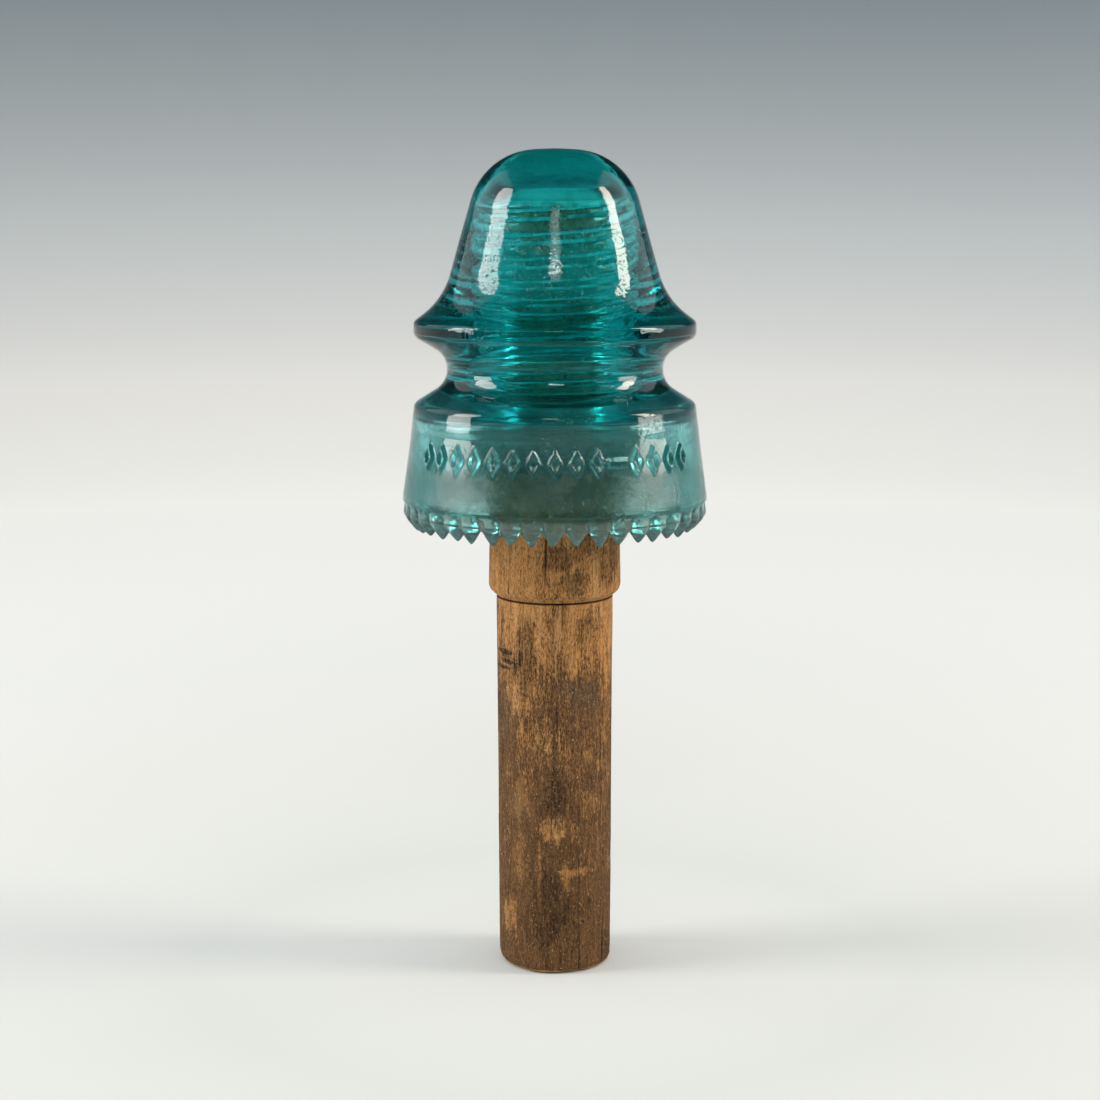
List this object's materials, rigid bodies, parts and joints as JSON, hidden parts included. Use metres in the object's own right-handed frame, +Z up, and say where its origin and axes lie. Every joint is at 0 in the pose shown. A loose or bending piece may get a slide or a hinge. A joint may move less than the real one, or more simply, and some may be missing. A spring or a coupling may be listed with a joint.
{
  "type": "pin insulator",
  "caption": "Pressed-glass pin insulator with wire groove, drip-point skirt and threaded pinhole, screwed onto a turned wooden pin.",
  "frame": {"origin": "centre of the flat end of the wooden pin's shank, on the thread's axis", "axes": "+Z up the common axis of the pin and the glass, from the shank's end towards the dome; X and Y are free, because the outside is round"},
  "size_m": [0.0826, 0.0826, 0.2227],
  "materials": {
    "teal_glass": "clear blue-green pressed glass, glossy with a faint mould texture, fine scratches and small chips on the rim",
    "weathered_wood": "turned hardwood, dry and matt, tan at the collar and weathered dark brown down the shank, with vertical grain, scuffs and stains"
  },
  "bodies": {
    "pin": {"wooden_pin": "weathered_wood"},
    "insulator": {"glass_insulator": "teal_glass"}
  },
  "joints": [
    {"name": "insulator_unscrew", "type": "slide", "parent": "pin", "child": "insulator", "axis": [0, 0, 1], "range_m": [0, 0.0762]}
  ]
}
